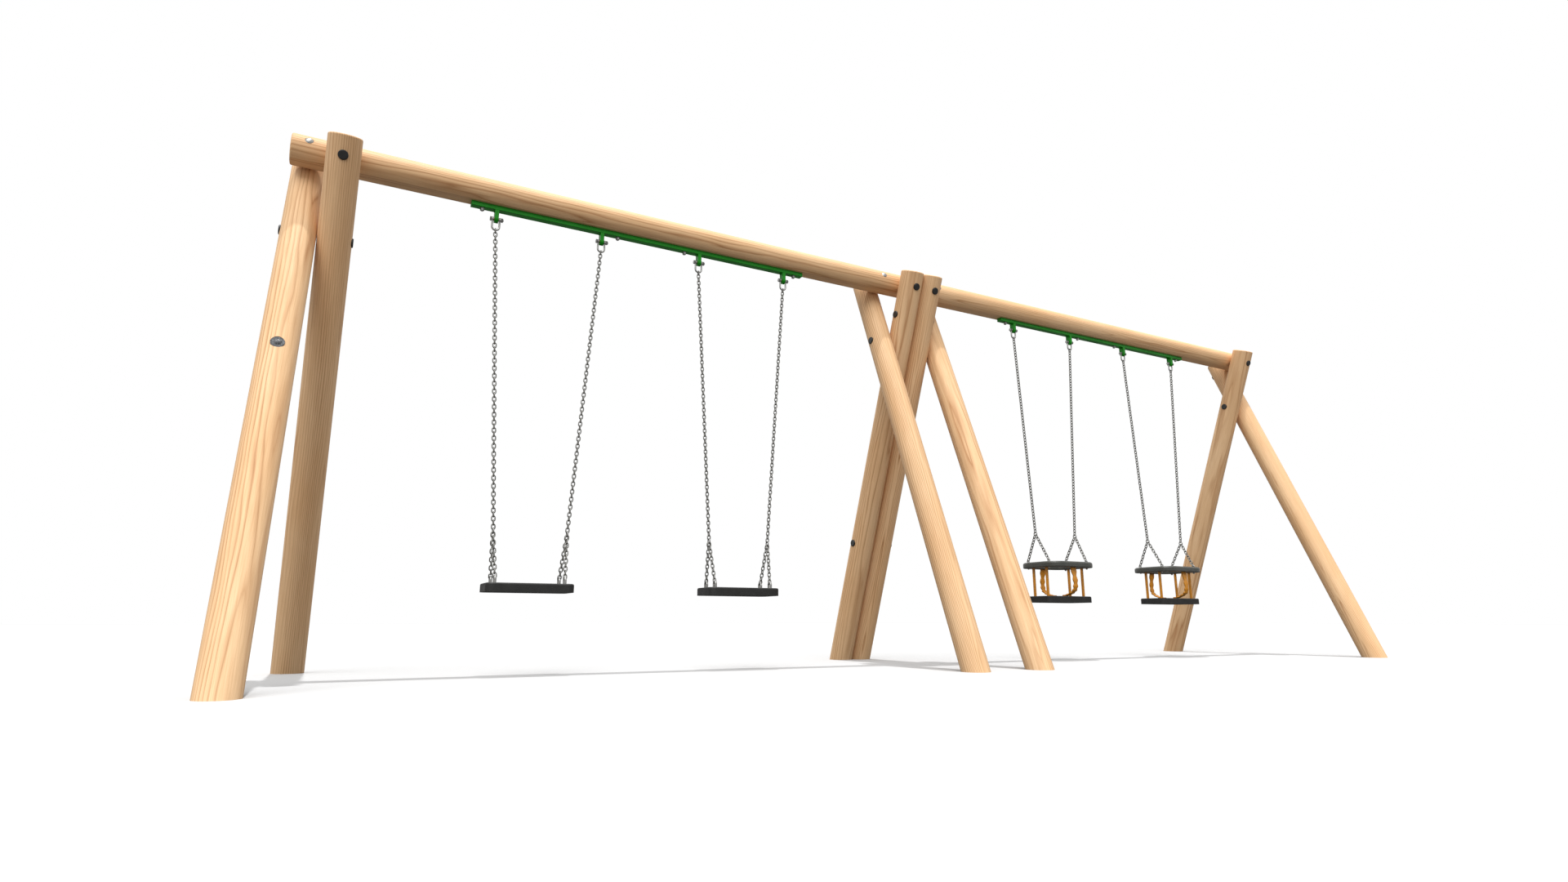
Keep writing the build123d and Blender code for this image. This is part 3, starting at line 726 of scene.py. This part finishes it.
def add_sky(stage):
    """Even light from all round, behind which the sky itself is white."""
    world = bpy.data.worlds.new("even_light")
    world.use_nodes = True
    tree = world.node_tree
    background = tree.nodes["Background"]
    background.inputs["Color"].default_value = (1.0, 1.0, 1.0, 1.0)
    path = tree.nodes.new("ShaderNodeLightPath")
    strength = tree.nodes.new("ShaderNodeMapRange")
    strength.inputs["To Min"].default_value = stage.sky
    strength.inputs["To Max"].default_value = 1.0
    tree.links.new(path.outputs["Is Camera Ray"], strength.inputs["Value"])
    tree.links.new(strength.outputs["Result"], background.inputs["Strength"])
    bpy.context.scene.world = world


def add_sun(name, strength, direction, angle):
    light = bpy.data.lights.new(name, "SUN")
    light.energy = strength
    light.angle = math.radians(angle)
    sun = bpy.data.objects.new(name, light)
    sun.rotation_mode = "QUATERNION"
    sun.rotation_quaternion = Vector(direction).to_track_quat("-Z", "Y")
    bpy.context.scene.collection.objects.link(sun)


def add_camera(stage):
    lens = bpy.data.cameras.new("camera")
    lens.lens = stage.lens
    lens.sensor_width = SENSOR_WIDTH
    lens.clip_end = SIGHT
    camera = bpy.data.objects.new("camera", lens)
    camera.location = CAMERA_PLACE
    camera.rotation_euler = (math.radians(90) + CAMERA_PITCH, 0.0, -CAMERA_YAW)
    bpy.context.scene.collection.objects.link(camera)
    bpy.context.scene.camera = camera


class SWINGSET_OT_stage(bpy.types.Operator):
    """Set up the floor, the lights and the camera"""
    bl_idname = "swingset.stage"
    bl_label = "Stage"

    def execute(self, context):
        stage = context.scene.swingset_stage
        add_floor(stage)
        add_sky(stage)
        add_sun("key_light", stage.key, KEY_DIRECTION, KEY_ANGLE)
        add_sun("fill_light", stage.fill, FILL_DIRECTION, FILL_ANGLE)
        add_camera(stage)
        context.scene.view_settings.view_transform = "Standard"
        return {"FINISHED"}


# ---- panel ------------------------------------------------------------------------------
OPERATORS = (SWINGSET_OT_timber, SWINGSET_OT_steelwork, SWINGSET_OT_welds, SWINGSET_OT_chains,
             SWINGSET_OT_flat_seats, SWINGSET_OT_cradle_seats, SWINGSET_OT_stage)


class SWINGSET_PT_panel(bpy.types.Panel):
    """Steps and settings of the swing set"""
    bl_idname = "SWINGSET_PT_panel"
    bl_label = "Swing set"
    bl_space_type = "VIEW_3D"
    bl_region_type = "UI"
    bl_category = "Swing set"

    def draw(self, context):
        for operator in OPERATORS:
            self.layout.operator(operator.bl_idname)
        for name, group in SETTINGS.items():
            box = self.layout.box()
            settings = getattr(context.scene, name)
            for setting in group.__annotations__:
                box.prop(settings, setting)


def register():
    for name, group in SETTINGS.items():
        bpy.utils.register_class(group)
        setattr(bpy.types.Scene, name, PointerProperty(type=group))
    for operator in OPERATORS:
        bpy.utils.register_class(operator)
    bpy.utils.register_class(SWINGSET_PT_panel)


def unregister():
    bpy.utils.unregister_class(SWINGSET_PT_panel)
    for operator in reversed(OPERATORS):
        bpy.utils.unregister_class(operator)
    for name, group in SETTINGS.items():
        delattr(bpy.types.Scene, name)
        bpy.utils.unregister_class(group)


def main():
    register()
    bpy.ops.swingset.stage()
    bpy.ops.swingset.timber()
    bpy.ops.swingset.steelwork()
    bpy.ops.swingset.welds()
    bpy.ops.swingset.chains()
    bpy.ops.swingset.flat_seats()
    bpy.ops.swingset.cradle_seats()


if __name__ == "__main__":
    main()
